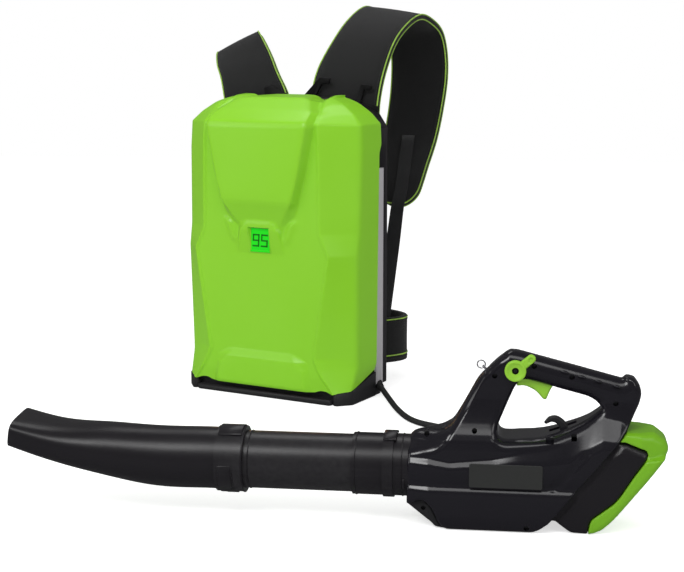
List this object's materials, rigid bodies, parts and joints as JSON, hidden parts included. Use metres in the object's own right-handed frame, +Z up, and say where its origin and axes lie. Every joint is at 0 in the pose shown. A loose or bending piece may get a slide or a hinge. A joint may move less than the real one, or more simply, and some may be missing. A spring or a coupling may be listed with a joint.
{
  "type": "backpack leaf blower",
  "caption": "Battery backpack with padded shoulder straps and a hip belt, joined by a cord to a handheld duct blower with a loop handle, a trigger and a flattened nozzle.",
  "frame": {"origin": "on the ground, under the middle of the flat base of the hand blower", "axes": "+X along the blower's duct, from the nozzle towards the adapter; -Y towards the viewer of the picture; +Z up, square to the blower's base"},
  "size_m": [0.8756, 1.0852, 0.6918],
  "materials": {
    "green_cover": "semi-gloss lime green",
    "green_parts": "semi-gloss green",
    "black_gloss": "glossy black",
    "black_satin": "satin black",
    "black_matte": "matte black, lightly grained",
    "grey_frame": "satin grey",
    "display": "clear bright green window",
    "inner_white": "natural moulding",
    "cell_wrap": "wrapped metal can",
    "copper": "bare metal strip",
    "board_green": "circuit board",
    "steel": "plated steel",
    "motor_metal": "turned metal",
    "rubber_black": "soft black rubber",
    "strap_fabric": "black padded cloth with lime piping",
    "webbing": "woven black tape",
    "pad_fabric": "black mesh cloth"
  },
  "bodies": {
    "pack": {"pack_front_cover": "green_cover", "pack_side_frame": "grey_frame", "pack_back_shell": "black_satin", "pack_base_tray": "black_matte", "display_lens": "display", "display_module": "inner_white", "battery_cells": "cell_wrap", "cell_holders": "inner_white", "bus_plates": "copper", "management_board": "board_green", "output_terminal": "inner_white", "pack_screws": "steel", "cord_gland": "rubber_black", "power_cord": "rubber_black", "shoulder_strap_right": "strap_fabric", "shoulder_strap_left": "strap_fabric", "strap_webbing_left": "webbing", "strap_webbing_right": "webbing", "strap_anchor_left": "black_matte", "strap_anchor_right": "black_matte", "hip_belt_left": "strap_fabric", "hip_belt_right": "strap_fabric", "lumbar_pad": "pad_fabric", "back_pad": "pad_fabric", "belt_webbing": "webbing", "belt_buckle_socket": "black_matte", "belt_buckle_tongue": "black_matte", "strap_buckles": "black_matte"},
    "adapter": {"adapter_case": "black_satin", "adapter_cover": "green_parts", "adapter_contacts": "copper", "cord_relief": "rubber_black"},
    "blower": {"housing_left": "black_gloss", "housing_right": "black_gloss", "chin_guard": "black_matte", "main_tube": "black_satin", "front_collar": "black_satin", "fan_duct": "black_matte", "stator_vanes": "black_matte", "motor_can": "motor_metal", "motor_core": "motor_metal", "motor_bearings": "steel", "intake_grille": "black_matte", "control_board": "board_green", "terminal_block": "inner_white", "dock_bay": "black_matte", "trigger_switch": "inner_white", "trigger_pin": "steel", "trigger_spring": "steel", "release_pin": "steel", "release_spring": "steel", "ring_lug": "steel", "housing_screws": "steel"},
    "fan_rotor": {"impeller": "black_matte", "motor_rotor": "steel"},
    "trigger": {"trigger": "green_parts"},
    "cruise_lever": {"cruise_lever": "green_parts"},
    "release_lever": {"release_lever": "black_matte"},
    "hang_ring": {"hang_ring": "steel"},
    "nozzle": {"nozzle": "black_satin"}
  },
  "joints": [
    {"name": "blower_lift", "type": "slide", "parent": "pack", "child": "adapter", "axis": [0, 0, 1], "range_m": [0, 0.2]},
    {"name": "blower_dock", "type": "slide", "parent": "adapter", "child": "blower", "axis": [-0.7771, 0, 0.6293], "range_m": [0, 0.06]},
    {"name": "trigger_pull", "type": "hinge", "parent": "blower", "child": "trigger", "pos_m": [0.042, 0, 0.199], "axis": [0, -1, 0], "range_deg": [0, 16], "stiffness_Nm_per_rad": 0.6, "springref_deg": -14.32},
    {"name": "cruise_turn", "type": "hinge", "parent": "blower", "child": "cruise_lever", "pos_m": [0.034, -0.02, 0.209], "axis": [0, 1, 0], "range_deg": [0, 60]},
    {"name": "release_pull", "type": "hinge", "parent": "blower", "child": "release_lever", "pos_m": [0.1, 0, 0.117], "axis": [0, 1, 0], "range_deg": [0, 20], "stiffness_Nm_per_rad": 0.3, "springref_deg": -14.32},
    {"name": "ring_swing", "type": "hinge", "parent": "blower", "child": "hang_ring", "pos_m": [-0.00705, 0, 0.20855], "axis": [0.7071, 0, 0.7071], "range_deg": [-70, 70]},
    {"name": "fan_spin", "type": "hinge", "parent": "blower", "child": "fan_rotor", "pos_m": [0, 0, 0.073], "axis": [1, 0, 0], "continuous": true},
    {"name": "nozzle_twist", "type": "hinge", "parent": "blower", "child": "nozzle", "pos_m": [-0.342, 0, 0.073], "axis": [1, 0, 0], "range_deg": [0, 20]}
  ]
}
